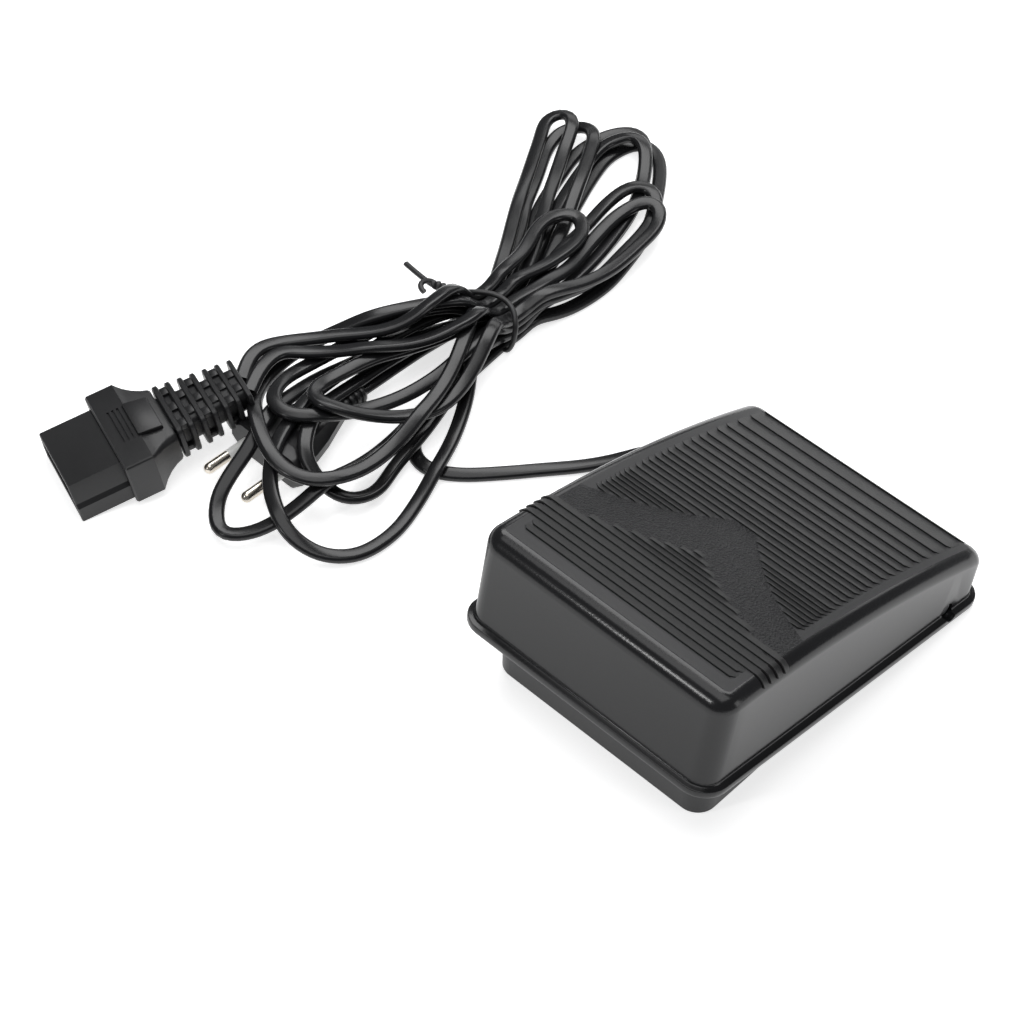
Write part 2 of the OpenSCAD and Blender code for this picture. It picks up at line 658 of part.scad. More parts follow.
module plug_sleeves() color([0.92, 0.92, 0.92]) on_plug() for (s = [-1, 1])
    translate([s * pin_gap / 2, 0, -9]) difference() {
        cylinder(r = 1.95, h = 19);
        translate([0, 0, -1]) cylinder(r = 1.4, h = 21);
    }

base_tray();
rubber_feet();
hinge_pin();
hinge_clips();
return_springs();
travel_stop();
circuit_board();
board_screws();
heat_sink();
triac();
triac_screw();
suppressor_capacitor();
timing_capacitors();
resistors();
choke_core();
choke_winding();
terminal_block();
terminal_screws();
potentiometer();
pot_bracket();
pot_nut();
pot_shaft();
drive_pinion();
sector_gear();
sector_screws();
pedal_cover();
cord_clamp();
clamp_screws();
cord_tail();
lead_wires();
cord_grommet();
pedal_cord();
cord_hank();
connector_leads();
plug_lead();
connector_body();
connector_insert();
connector_contacts();
connector_boot();
plug_body();
plug_pins();
plug_sleeves();
twist_tie();
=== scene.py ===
import json
import math

import bmesh
import bpy
import numpy as np
from mathutils import Matrix, Quaternion, Vector


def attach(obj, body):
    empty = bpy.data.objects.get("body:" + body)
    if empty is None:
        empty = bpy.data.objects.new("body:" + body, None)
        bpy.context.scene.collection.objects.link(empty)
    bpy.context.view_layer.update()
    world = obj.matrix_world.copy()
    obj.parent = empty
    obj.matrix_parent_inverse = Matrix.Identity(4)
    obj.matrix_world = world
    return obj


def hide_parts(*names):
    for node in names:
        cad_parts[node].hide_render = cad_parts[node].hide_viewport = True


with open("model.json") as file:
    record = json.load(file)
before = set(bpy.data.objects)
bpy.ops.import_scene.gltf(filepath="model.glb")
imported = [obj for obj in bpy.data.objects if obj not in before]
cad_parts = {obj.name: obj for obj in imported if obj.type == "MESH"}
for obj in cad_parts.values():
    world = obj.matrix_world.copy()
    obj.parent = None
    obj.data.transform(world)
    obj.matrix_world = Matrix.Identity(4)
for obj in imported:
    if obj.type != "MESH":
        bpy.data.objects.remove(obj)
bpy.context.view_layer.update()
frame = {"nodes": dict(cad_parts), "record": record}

# ---- Camera, floor and light -------------------------------------------------
# A long lens looks down on the toe end from the side away from the cords. The floor is a white
# sheet with a glow of its own. Soft lamps hang overhead and beyond the heel, with a small one off
# the toe and one low at the side.
look_at = Vector((0.08442, 0.01048, 0.0))
look_from = Vector((-0.30086, 0.43079, 0.63027))
camera = bpy.data.objects.new("camera", bpy.data.cameras.new("camera"))
camera.data.lens = 89.1
camera.data.sensor_width = 36
camera.data.clip_start = 0.05
camera.rotation_mode = "QUATERNION"
camera.location = look_from
camera.rotation_quaternion = ((look_from - look_at).to_track_quat("Z", "Y")
                              @ Quaternion((0, 0, 1), math.radians(1.765)))
bpy.context.collection.objects.link(camera)
bpy.context.scene.camera = camera
bpy.context.scene.view_settings.view_transform = "Standard"

world = bpy.data.worlds.new("studio")
world.use_nodes = True
world.node_tree.nodes["Background"].inputs["Color"].default_value = (0.96, 0.98, 1, 1)
world.node_tree.nodes["Background"].inputs["Strength"].default_value = 0.16
bpy.context.scene.world = world


def lamp(name, place, target, size, power):
    data = bpy.data.lights.new(name, "AREA")
    data.shape = "RECTANGLE"
    data.size, data.size_y = size
    data.energy = power
    obj = bpy.data.objects.new(name, data)
    obj.location = place
    obj.rotation_mode = "QUATERNION"
    obj.rotation_quaternion = (Vector(place) - Vector(target)).to_track_quat("Z", "Y")
    bpy.context.collection.objects.link(obj)


lamp("overhead", (0.1, 0.1, 1.3), (0.08, 0, 0), (1.1, 0.9), 6)
lamp("heel_soft", (0.45, -0.5, 0.85), (0.06, 0, 0), (0.8, 0.45), 5)
lamp("tread_sheen", (0.45, -0.85, 0.4), (0.02, 0.01, 0.04), (0.8, 0.3), 1.3)
lamp("toe_strip", (0.28, 0.74, 0.53), (-0.03, 0.06, 0.05), (0.08, 0.16), 0.9)
lamp("side_fill", (-0.85, -0.3, 0.3), (-0.05, 0, 0.02), (0.3, 0.5), 1)

floor_material = bpy.data.materials.new("floor_white")
floor_material.use_nodes = True
floor_bsdf = floor_material.node_tree.nodes["Principled BSDF"]
floor_bsdf.inputs["Base Color"].default_value = (0.93, 0.93, 0.93, 1)
floor_bsdf.inputs["Roughness"].default_value = 0.9
floor_bsdf.inputs["Emission Color"].default_value = (1, 1, 1, 1)
floor_bsdf.inputs["Emission Strength"].default_value = 0.7
floor_mesh = bpy.data.meshes.new("floor")
floor_mesh.from_pydata([(-3, -3, 0), (3, -3, 0), (3, 3, 0), (-3, 3, 0)], [], [(0, 1, 2, 3)])
floor_mesh.materials.append(floor_material)
floor = bpy.data.objects.new("floor", floor_mesh)
bpy.context.collection.objects.link(floor)


# ---- The two flat cords ------------------------------------------------------
# Flat two-core PVC cord, 5.4 by 3 mm, extruded with rounded edges and a satin skin. One runs from
# the pedal to the machine connector, the other from there to the mains plug. Both are folded
# together into loops on either side of one neck, and lie on each other and on the floor.
def finish(name, base, rough, grain=900.0, depth=0.00004, metal=0.0, spread=0.18):
    """A plastic or metal with uneven colour, uneven gloss and a fine surface grain."""
    mat = bpy.data.materials.new(name)
    mat.use_nodes = True
    nodes, links = mat.node_tree.nodes, mat.node_tree.links
    bsdf = nodes["Principled BSDF"]
    bsdf.inputs["Metallic"].default_value = metal
    bsdf.inputs["Specular IOR Level"].default_value = 0.5 if metal else 0.4
    place = nodes.new("ShaderNodeTexCoord")
    broad = nodes.new("ShaderNodeTexNoise")
    broad.inputs["Scale"].default_value = 38
    broad.inputs["Detail"].default_value = 5
    links.new(place.outputs["Object"], broad.inputs["Vector"])
    tone = nodes.new("ShaderNodeValToRGB")
    tone.color_ramp.elements[0].position = 0.3
    tone.color_ramp.elements[0].color = (*(c * (1 - spread) for c in base), 1)
    tone.color_ramp.elements[1].position = 0.7
    tone.color_ramp.elements[1].color = (*(min(1, c * (1 + spread)) for c in base), 1)
    links.new(broad.outputs["Fac"], tone.inputs["Fac"])
    links.new(tone.outputs["Color"], bsdf.inputs["Base Color"])
    gloss = nodes.new("ShaderNodeMapRange")
    gloss.inputs["To Min"].default_value = rough * 0.86
    gloss.inputs["To Max"].default_value = min(1, rough * 1.14)
    links.new(broad.outputs["Fac"], gloss.inputs["Value"])
    links.new(gloss.outputs["Result"], bsdf.inputs["Roughness"])
    fine = nodes.new("ShaderNodeTexNoise")
    fine.inputs["Scale"].default_value = grain
    fine.inputs["Detail"].default_value = 3
    links.new(place.outputs["Object"], fine.inputs["Vector"])
    bump = nodes.new("ShaderNodeBump")
    bump.inputs["Strength"].default_value = 0.6
    bump.inputs["Distance"].default_value = depth
    links.new(fine.outputs["Fac"], bump.inputs["Height"])
    links.new(bump.outputs["Normal"], bsdf.inputs["Normal"])
    return mat


def plain_mesh(obj):
    """Bakes the object's modifiers into its own mesh."""
    shown = obj.evaluated_get(bpy.context.evaluated_depsgraph_get())
    baked = bpy.data.meshes.new_from_object(shown)
    baked.name = obj.name
    obj.modifiers.clear()
    obj.data = baked


# Sizes in millimetres: the cord's section, the height of its middle on the floor and over another
# cord, how near in plan two cords rest on each other or lie fully over, and the mains plug's face.
cord_width = 5.4
cord_thick = 3.0
cord_corner = 1.45
lies_at = 1.6
stacks_by = 3.2
touching = 5.5
overlying = 3.6
plug_at = Vector((156.6, 55.5, 7))


def sweep_group():
    """Sweeps a rounded flat section along the object's own line, turned by its roll."""
    tree = bpy.data.node_groups.new("flat_sweep", "GeometryNodeTree")
    face = tree.interface
    face.new_socket("Geometry", in_out="INPUT", socket_type="NodeSocketGeometry")
    for name in ("Width", "Thickness", "Corner"):
        face.new_socket(name, in_out="INPUT", socket_type="NodeSocketFloat")
    face.new_socket("Material", in_out="INPUT", socket_type="NodeSocketMaterial")
    face.new_socket("Geometry", in_out="OUTPUT", socket_type="NodeSocketGeometry")
    new, link = tree.nodes.new, tree.links.new
    given, out = new("NodeGroupInput"), new("NodeGroupOutput")
    line = new("GeometryNodeMeshToCurve")
    upright = new("GeometryNodeSetCurveNormal")
    upright.mode = "Z_UP"
    roll = new("GeometryNodeInputNamedAttribute")
    roll.data_type = "FLOAT"
    roll.inputs["Name"].default_value = "roll"
    turned = new("GeometryNodeSetCurveTilt")
    section = new("GeometryNodeCurvePrimitiveQuadrilateral")
    soft = new("GeometryNodeFilletCurve")
    soft.mode = "POLY"
    soft.inputs["Count"].default_value = 4
    tube = new("GeometryNodeCurveToMesh")
    tube.inputs["Fill Caps"].default_value = True
    real = new("GeometryNodeRealizeInstances")
    paint = new("GeometryNodeSetMaterial")
    link(given.outputs["Geometry"], line.inputs["Mesh"])
    link(line.outputs["Curve"], upright.inputs["Curve"])
    link(upright.outputs["Curve"], turned.inputs["Curve"])
    link(roll.outputs["Attribute"], turned.inputs["Tilt"])
    link(given.outputs["Width"], section.inputs["Width"])
    link(given.outputs["Thickness"], section.inputs["Height"])
    link(section.outputs["Curve"], soft.inputs["Curve"])
    link(given.outputs["Corner"], soft.inputs["Radius"])
    link(turned.outputs["Curve"], tube.inputs["Curve"])
    link(soft.outputs["Curve"], tube.inputs["Profile Curve"])
    link(tube.outputs["Mesh"], real.inputs["Geometry"])
    link(real.outputs["Geometry"], paint.inputs["Geometry"])
    link(given.outputs["Material"], paint.inputs["Material"])
    link(paint.outputs["Geometry"], out.inputs["Geometry"])
    return tree


def socket_of(tree, name):
    return next(s.identifier for s in tree.interface.items_tree
                if s.name == name and s.in_out == "INPUT")


flat_sweep = sweep_group()


def swept(name, line, width, thickness, corner, material, roll=None, loop=False):
    """One closed tube along a line of points in millimetres."""
    count = len(line)
    mesh = bpy.data.meshes.new(name)
    edges = [(i, i + 1) for i in range(count - 1)] + ([(count - 1, 0)] if loop else [])
    mesh.from_pydata([Vector(p) * 0.001 for p in line], edges, [])
    turn = mesh.attributes.new("roll", "FLOAT", "POINT")
    turn.data.foreach_set("value", [0.0] * count if roll is None else [float(r) for r in roll])
    obj = bpy.data.objects.new(name, mesh)
    bpy.context.collection.objects.link(obj)
    mod = obj.modifiers.new("sweep", "NODES")
    mod.node_group = flat_sweep
    for key, value in (("Width", width), ("Thickness", thickness), ("Corner", corner)):
        mod[socket_of(flat_sweep, key)] = value * 0.001
    mod[socket_of(flat_sweep, "Material")] = material
    plain_mesh(obj)
    obj.data.shade_smooth()
    obj.data.set_sharp_from_angle(angle=math.radians(50))
    return obj


def spline(points, step):
    """Even steps along a smooth line through the points, with the point number at each step."""
    p = np.array([q[:2] for q in points], float)
    p = np.vstack([2 * p[0] - p[1], p, 2 * p[-1] - p[-2]])
    fine, number = [], []
    for i in range(1, len(p) - 2):
        for t in np.linspace(0, 1, 16, endpoint=False):
            a = -0.5 * t + t * t - 0.5 * t ** 3
            b = 1 - 2.5 * t * t + 1.5 * t ** 3
            c = 0.5 * t + 2 * t * t - 1.5 * t ** 3
            d = -0.5 * t * t + 0.5 * t ** 3
            fine.append(a * p[i - 1] + b * p[i] + c * p[i + 1] + d * p[i + 2])
            number.append(i - 1 + t)
    fine.append(p[-2])
    number.append(len(points) - 1)
    fine, number = np.array(fine), np.array(number)
    run = np.concatenate([[0], np.cumsum(np.linalg.norm(np.diff(fine, axis=0), axis=1))])
    at = np.linspace(0, run[-1], int(run[-1] / step) + 1)
    return (np.stack([np.interp(at, run, fine[:, k]) for k in (0, 1)], 1),
            np.interp(at, run, number))


neck_columns = (141.6, 147.2, 152.8, 158.4)
neck_rows = (1.6, 4.8, 8.0, 11.2)
neck_steps = (-43, -50, -57)


def neck(column, row, to_upper):
    """Three points straight through the tied neck, in the order the cord takes them."""
    ys = neck_steps if to_upper else neck_steps[::-1]
    return [(neck_columns[column - 1], y, neck_rows[row]) for y in ys]


def eased(points, start, reach, across, along):
    """Plan points moved over, by nothing at the start and by the full amount one reach past it."""
    moved = []
    for x, y in points:
        share = min(1, max(0, (y - start) / reach))
        moved.append((round(x + across * share, 1), round(y + along * share, 1)))
    return moved


def upper(*points):
    """A loop above the neck, moved over and drawn back towards the tie, most at its tip."""
    return eased(points, start=-72, reach=-40, across=3.2, along=2.1)


def lower(*points):
    """A loop below the neck, moved over and out, and then most of the way back."""
    drawn = eased(points, start=-12, reach=35, across=3.2, along=3.6)
    return eased(drawn, start=-12, reach=38, across=-2.0, along=-3.2)


# The loops, as plan points between two passes of the neck. The number is the order in which they
# lie on each other.
upper_5 = (2, upper((137, -74), (134.5, -93), (136.5, -110), (141, -125), (148, -138), (160, -155),
                    (169, -163), (178, -163), (181, -150), (177, -135), (169, -115), (162, -94),
                    (156, -72)))
upper_3 = (3, upper((163, -68), (171, -87), (179, -107), (186, -126), (191, -143), (189, -157),
                    (181, -164), (172, -160), (162, -147), (153, -130), (147, -108), (145, -82)))
lower_6 = (4, lower((144, -34), (136, -14), (128, 8), (123, 26), (119, 39), (122, 49), (131, 52),
                    (141, 50), (149, 41), (154, 30), (157, 10), (158, -12), (158, -32)))
lower_2 = (5, lower((157, -25), (164, 0), (168, 20), (165, 40), (158, 59), (156, 70), (152, 80),
                    (142, 87.5), (134, 80), (130, 67), (128, 50), (129, 28), (134, 0), (140, -25)))
upper_4 = (6, upper((143, -76), (144, -98), (148, -118), (155, -137), (165, -152), (173, -159),
                    (180, -158), (184, -148), (180, -132), (173, -112), (167, -95), (158, -72)))
upper_2 = (7, upper((164, -66), (174, -88), (184, -105), (193, -122), (201, -136), (203, -147),
                    (197, -153), (189, -149), (181, -137), (170, -117), (161, -97), (152, -74)))
lower_3 = (8, lower((140, -28), (128, -12), (119, 3), (112, 18), (107, 32), (103.5, 46),
                    (104.5, 60), (110, 69), (117, 73), (125, 74), (133, 71), (141, 66), (149, 57),
                    (156, 42), (161, 22), (162, 0), (160, -25)))
lower_5 = (9, lower((160, -28), (166, -10), (170, 5), (172, 20), (171, 33), (164, 43), (155, 43),
                    (148, 35), (143, 18), (140, 0), (139, -20)))
upper_6 = (10, upper((139, -70), (137, -92), (138, -108), (141, -126), (146, -137), (153, -141),
                     (159, -136), (160, -124), (157, -108), (154, -88), (149, -68)))
upper_1 = (11, upper((168, -72), (181, -95), (192, -115), (203, -133), (210, -145), (207, -152),
                     (200, -149), (192, -135), (180, -115), (170, -97), (158, -74)))
lower_4 = (12, [(150, -28), (154, -14), (157.5, 2), (159.8, 16), (159.5, 29), (153, 34.5),
                (145, 30.5), (138, 22.5), (131.5, 12), (128, 1), (129.5, -12), (135, -28)])
lower_1 = (13, lower((158, -30), (167, -12), (174, 0), (179, 11), (180.5, 22), (178, 34),
                     (172, 44), (165, 50.5), (157, 55.5), (148, 59.5), (139, 60.5), (130, 57),
                     (124, 48), (123, 32), (127, 10), (135, -12), (146, -32)))
upper_7 = (14, upper((139, -68), (136, -80), (134, -98), (134.5, -114), (137, -127), (143, -134.5),
                     (149, -132), (151, -121), (149, -104), (146, -84), (146, -67)))
upper_8 = (15, [(153, -66), (152, -77.7), (152.1, -91), (155.4, -100.4), (163.3, -106.2),
                (168.8, -99.5), (167.9, -89.1), (161.7, -73.9)])
pedal_end = (0, [(62.2, -38, 8.5), (66, -37.6, 8), (70, -33.6, 5.4), (76, -26), (88, -11.6),
                 (98, 1), (108, 12), (118, 17.6), (128, 14), (135, 0), (139, -22)])
plug_end = (1, [(158.6, -32, 2), (158, -18, 4.4), (157, -4, 6.2), (156.6, 3, 6.8),
                (156.6, 10.9, 7)])
lead_pedal = (17, [(145, -29), (150, -12), (162.5, 6), (174.5, 18, 17.4), (180.8, 26, 18.8),
                   (179, 36.5, 19.4), (173.9, 46.4, 18.9)])
lead_mains = (16, [(180.1, 44.2, 18.9), (184.4, 37.5, 19.8), (186.6, 30, 19.6),
                   (183.6, 20.6, 18.2), (174.5, 8.5), (161.5, -7), (157.5, -20), (158.4, -34)])

cord_a = [pedal_end, neck(1, 0, True), upper_5, neck(3, 0, False), lower_2, neck(1, 1, True),
          upper_4, neck(3, 1, False), lower_5, neck(1, 2, True), upper_6, neck(2, 2, False),
          lower_4, neck(1, 3, True), upper_7, neck(2, 3, False), lead_pedal]
cord_b = [lead_mains, neck(4, 3, True), (15, upper_8[1][::-1]), neck(3, 3, False),
          (13, lower_1[1]), neck(3, 2, True), (11, upper_1[1][::-1]), neck(4, 2, False),
          (8, lower_3[1][::-1]), neck(2, 1, True), (7, upper_2[1][::-1]), neck(4, 1, False),
          (4, lower_6[1][::-1]), neck(2, 0, True), (3, upper_3[1][::-1]), neck(4, 0, False),
          plug_end]


def plug_under(x, y):
    """Height a cord's middle needs so that it lies on the mains plug, or 0 away from it."""
    side = abs(x - plug_at.x)
    back = plug_at.y - y
    if back < -2 or back > 45:
        return 0.0
    half = 17.6 if back < 6 else 13.5 - max(0, back - 6) * 0.32
    top = 13.8 if back < 18 else 13.8 - (back - 18) * 0.2
    if side > half + 2.2:
        return 0.0
    return top + lies_at - max(0, side - half * 0.75) * 0.8


def laid(cords, step=2.2):
    """The cords' points, with each loop resting on what is already under it."""
    lines, ranks, fixed = [], [], []
    for cord in cords:
        points, rank = [], []
        for i, part in enumerate(cord):
            own = part[0] if isinstance(part, tuple) else -1 - min(
                cord[j][0] for j in (i - 1, i + 1))
            here = part[1] if isinstance(part, tuple) else part
            points += here
            rank += [own] * len(here)
        plan, number = spline(points, step)
        low = np.floor(number).astype(int)
        high = np.minimum(low + 1, len(points) - 1)
        z = np.array([p[2] if len(p) > 2 else np.nan for p in points])
        part = number - low
        lines.append(np.column_stack([plan, z[low] * (1 - part) + z[high] * part]))
        fixed.append(~np.isnan(lines[-1][:, 2]))
        level = np.maximum(np.array(rank)[low], np.array(rank)[high])
        ranks.append(np.where(level < 0, -1 - level, level))
    done = [f.copy() for f in fixed]
    for level in range(1 + max(int(r.max()) for r in ranks)):
        for c, line in enumerate(lines):
            mine = np.where((ranks[c] == level) & ~fixed[c])[0]
            if len(mine) == 0:
                continue
            floor_z = np.full(len(line), lies_at)
            others = np.vstack([l[d & (r <= level)] for k, (l, d, r)
                                in enumerate(zip(lines, done, ranks)) if k != c]
                               + [line[done[c] & (ranks[c] < level)]])
            for i in mine:
                gap = np.hypot(*(others[:, :2] - line[i, :2]).T)
                close = gap < touching
                rest = max(lies_at, plug_under(*line[i, :2]))
                if close.any():
                    slip = np.maximum(0, gap[close] - overlying) / (touching - overlying)
                    lift = stacks_by * np.sqrt(1 - slip ** 2)
                    rest = max(rest, (others[close, 2] + lift).max())
                floor_z[i] = rest
            for run in np.split(mine, np.where(np.diff(mine) > 1)[0] + 1):
                a, b = run[0], run[-1]
                low = floor_z[a:b + 1]
                z = low.copy()
                first = line[a - 1, 2] if a > 0 else low[0]
                last = line[b + 1, 2] if b + 1 < len(line) else low[-1]
                for _ in range(500):
                    ends = np.concatenate([[first], z, [last]])
                    z = np.maximum(low, 0.5 * (ends[:-2] + ends[2:]) - 0.03)
                soft = np.concatenate([[first] * 2, z, [last] * 2])
                z = np.maximum(lies_at, np.convolve(soft, (0.1, 0.2, 0.4, 0.2, 0.1), "valid"))
                line[a:b + 1, 2] = z
            done[c][mine] = True
    for line in lines:
        for _ in range(3):
            line[1:-1] = 0.25 * line[:-2] + 0.5 * line[1:-1] + 0.25 * line[2:]
    return lines


cord_black = finish("cord_black", (0.011, 0.011, 0.012), 0.24, 700, 0.00002)
pedal_line, mains_line = laid((cord_a, cord_b))
for name, line, leaves, end, on_it in (
        ("pedal_to_machine_cord", pedal_line, (0.0622, -0.038, 0.0085), "connector",
         ["connector_grip", "connector_nose", "connector_boot_core", "connector_boot_ribs",
          "connector_boot_bridges", "connector_insert", "connector_contacts"]),
        ("machine_to_mains_cord", mains_line, (0.1801, 0.0442, 0.0189), "plug",
         ["plug_shell", "plug_relief_ribs", "plug_pins", "plug_sleeves"])):
    run = np.linspace(0, 40, len(line))
    roll = 0.22 * np.sin(run * 1.3 + len(name))
    cord = swept(name, line, cord_width, cord_thick, cord_corner, cord_black, roll)
    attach(cord, "base")
    if end == "connector":
        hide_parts("pedal_cord", "cord_hank")
    else:
        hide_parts("connector_leads", "plug_lead")


# ---- Pedal cover -------------------------------------------------------------
# One black moulding with a rim all round. Its walls and rounded edges are glossy, and the tread is
# matt, with a grained chevron left plain between the ribs. It turns on the pin through its sides.
hinge_at = Vector((0, -52, 8))
rest_turn = Matrix.Rotation(math.radians(9.6), 3, "X")
cover_mid = 52.25
corner_x = 42.1
corner_r = 7
heel_y = -10.75
toe_y = 115.25
edge_r = 4.5
cover_wall = 2.3
outer_slope = 0.93
outer_bend = 0.00072
inner_slope = 1.55
inner_bend = 0.035


def raised(p):
    """From the cover's own frame, level and measured from the hinge, to the resting cover."""
    return hinge_at + rest_turn @ Vector(p)


def tread(y):
    return -406.6 + math.sqrt(440 ** 2 - (y - 105) ** 2)


def solid(name, verts, faces, material, angle=35, bevel=0.0):
    """A closed mesh from points in millimetres, with faces turned outwards."""
    mesh = bpy.data.meshes.new(name)
    mesh.from_pydata([Vector(v) * 0.001 for v in verts], [], faces)
    mesh.materials.append(material)
    shape = bmesh.new()
    shape.from_mesh(mesh)
    bmesh.ops.recalc_face_normals(shape, faces=shape.faces)
    shape.to_mesh(mesh)
    shape.free()
    obj = bpy.data.objects.new(name, mesh)
    bpy.context.collection.objects.link(obj)
    if bevel:
        ease = obj.modifiers.new("ease", "BEVEL")
        ease.width = bevel * 0.001
        ease.segments = 2
        ease.angle_limit = math.radians(30)
        plain_mesh(obj)
    obj.data.shade_smooth()
    obj.data.set_sharp_from_angle(angle=math.radians(angle))
    return obj


def strips(rings, first=0):
    """Quads between rings of equal length."""
    n = len(rings[0])
    return [(first + i * n + k, first + i * n + (k + 1) % n,
             first + (i + 1) * n + (k + 1) % n, first + (i + 1) * n + k)
            for i in range(len(rings) - 1) for k in range(n)]


def loft(name, rings, material, angle=35, bevel=0.0):
    n = len(rings[0])
    caps = [tuple(range(n)), tuple((len(rings) - 1) * n + k for k in range(n))]
    return solid(name, [p for ring in rings for p in ring], strips(rings) + caps, material,
                 angle, bevel)


def ships_with(obj, body, slot, *nodes):
    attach(obj, body)
    if nodes:
        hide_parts(*nodes)


def cover_side():
    """The right half of the outline from heel to toe: centre of bend, way out, edge radius."""
    half = []
    for k in range(7):
        a = math.radians(-90 + 90 * k / 7)
        half.append((corner_x, heel_y, math.cos(a), math.sin(a), edge_r + 2.5 - 2.5 * k / 7))
    half += [(corner_x, heel_y + (toe_y - heel_y) * k / 30, 1, 0, edge_r) for k in range(31)]
    for k in range(1, 8):
        a = math.radians(90 * k / 7)
        half.append((corner_x, toe_y, math.cos(a), math.sin(a), edge_r + 1.5 * k / 7))
    return half


def cover_ring(inset, height):
    """One closed ring; inset and height are given the edge radius and the place along it."""
    half = []
    for cx, cy, nx, ny, edge in cover_side():
        d = inset(edge)
        x = cx + nx * (corner_r - d)
        y = cy + ny * (corner_r - d)
        half.append((x, y, height(edge, y)))
    return half + [(-x, y, z) for x, y, z in reversed(half)]


cover_rings = []
for phi in (90, 78, 66, 54, 42, 30, 18, 8, 0):
    c = math.cos(math.radians(phi))
    q = math.sin(math.radians(phi))
    cover_rings.append(cover_ring(lambda e: e * (1 - c), lambda e, y: tread(y) - e * (1 - q)))
for d, z in ((0, -0.6), (-0.2, -1.15), (-0.7, -1.5), (-1.9, -1.5), (-2.25, -1.65), (-2.4, -2.0),
             (-2.4, -3.6), (-2.25, -3.95), (-1.9, -4.1), (2.1, -4.1), (2.3, -3.9)):
    cover_rings.append(cover_ring(lambda e: d, lambda e, y: z))
for phi in (0, 30, 60, 90):
    c = math.cos(math.radians(phi))
    q = math.sin(math.radians(phi))
    cover_rings.append(cover_ring(
        lambda e: cover_wall + (e - cover_wall) * (1 - c),
        lambda e, y: tread(y) - cover_wall - (e - cover_wall) * (1 - q)))
ring_n = len(cover_rings[0])
cover_faces = strips(cover_rings)
for base in (0, (len(cover_rings) - 1) * ring_n):
    cover_faces += [(base + i, base + i + 1, base + ring_n - 2 - i, base + ring_n - 1 - i)
                    for i in range(ring_n // 2 - 1)]

cover_black = finish("cover_gloss_black", (0.011, 0.011, 0.012), 0.2, 260, 0.00001, spread=0.1)
nodes, links = cover_black.node_tree.nodes, cover_black.node_tree.links


def math_node(kind, *values):
    """The outcome of one sum on numbers or on other nodes' outcomes."""
    node = nodes.new("ShaderNodeMath")
    node.operation = kind
    for slot, value in enumerate(values):
        if isinstance(value, (int, float)):
            node.inputs[slot].default_value = value
        else:
            links.new(value, node.inputs[slot])
    return node.outputs[0]


plan = nodes.new("ShaderNodeAttribute")
plan.attribute_name = "plan"
split = nodes.new("ShaderNodeSeparateXYZ")
links.new(plan.outputs["Vector"], split.inputs["Vector"])
on_tread = math_node("GREATER_THAN", split.outputs["Z"], 0.95)
across = math_node("ABSOLUTE", split.outputs["X"])
along = math_node("SUBTRACT", split.outputs["Y"], 2.5)
wide = math_node("MULTIPLY_ADD", math_node("MULTIPLY", along, along), outer_bend, outer_slope)
outer = math_node("MULTIPLY_ADD", wide, along, 6.0)
inward = math_node("SUBTRACT", split.outputs["Y"], 24.6)
steep = math_node("MULTIPLY_ADD", inward, inner_bend, inner_slope)
inner = math_node("MULTIPLY", inward, steep)
in_band = math_node("MULTIPLY", math_node("LESS_THAN", across, outer),
                    math_node("GREATER_THAN", across, inner))
in_band = math_node("MULTIPLY", in_band, math_node("GREATER_THAN", along, -3.0))
band = math_node("MULTIPLY", in_band, on_tread)
bsdf = nodes["Principled BSDF"]
gloss = bsdf.inputs["Roughness"].links[0].from_socket
matt = math_node("MULTIPLY_ADD", on_tread, 0.26, gloss)
links.new(math_node("MULTIPLY_ADD", band, 0.14, matt), bsdf.inputs["Roughness"])
# Painted highlight: the tread's base colour is scaled paler than the walls. This is a painted
# sheen for light the top catches, not a paler plastic.
painted_tread_light = nodes.new("ShaderNodeVectorMath")
painted_tread_light.operation = "SCALE"
links.new(nodes["Color Ramp"].outputs["Color"], painted_tread_light.inputs[0])
links.new(math_node("MULTIPLY_ADD", on_tread, 0.6, 1.0), painted_tread_light.inputs["Scale"])
links.new(painted_tread_light.outputs["Vector"], bsdf.inputs["Base Color"])
leather = nodes.new("ShaderNodeTexVoronoi")
leather.inputs["Scale"].default_value = 1300
links.new(nodes["Texture Coordinate"].outputs["Object"], leather.inputs["Vector"])
grain = nodes.new("ShaderNodeBump")
grain.inputs["Distance"].default_value = 0.0006
links.new(math_node("MULTIPLY_ADD", band, 0.75, 0.02), grain.inputs["Strength"])
links.new(leather.outputs["Distance"], grain.inputs["Height"])
links.new(nodes["Bump"].outputs["Normal"], grain.inputs["Normal"])
links.new(grain.outputs["Normal"], bsdf.inputs["Normal"])

cover = solid("cover_shell", [raised(p) for ring in cover_rings for p in ring], cover_faces,
              cover_black, 40)


def bar(name, radius, x0, x1, place):
    """A round bar across the pedal, to cut with."""
    ring = [(radius * math.cos(a), radius * math.sin(a))
            for a in (2 * math.pi * k / 32 for k in range(32))]
    return loft(name, [[(x, place[1] + y, place[2] + z) for y, z in ring] for x in (x0, x1)],
                cover_black)


box_faces = ((0, 3, 2, 1), (4, 5, 6, 7), (0, 1, 5, 4), (1, 2, 6, 5), (2, 3, 7, 6), (3, 0, 4, 7))


def block(name, low, high, frame_of):
    """A box in a frame of its own, to cut with."""
    (a, b, c), (d, e, f) = low, high
    verts = [frame_of(p) for p in ((a, b, c), (d, b, c), (d, e, c), (a, e, c),
                                   (a, b, f), (d, b, f), (d, e, f), (a, e, f))]
    return solid(name, verts, box_faces, cover_black)


def carve(obj, cutters, angle):
    """Cuts the cutters out of a piece and takes them away."""
    for cutter in cutters:
        cut = obj.modifiers.new("cut", "BOOLEAN")
        cut.operation = "DIFFERENCE"
        cut.solver = "EXACT"
        cut.object = cutter
    bpy.context.view_layer.update()
    plain_mesh(obj)
    for cutter in cutters:
        bpy.data.objects.remove(cutter)
    obj.data.set_sharp_from_angle(angle=math.radians(angle))


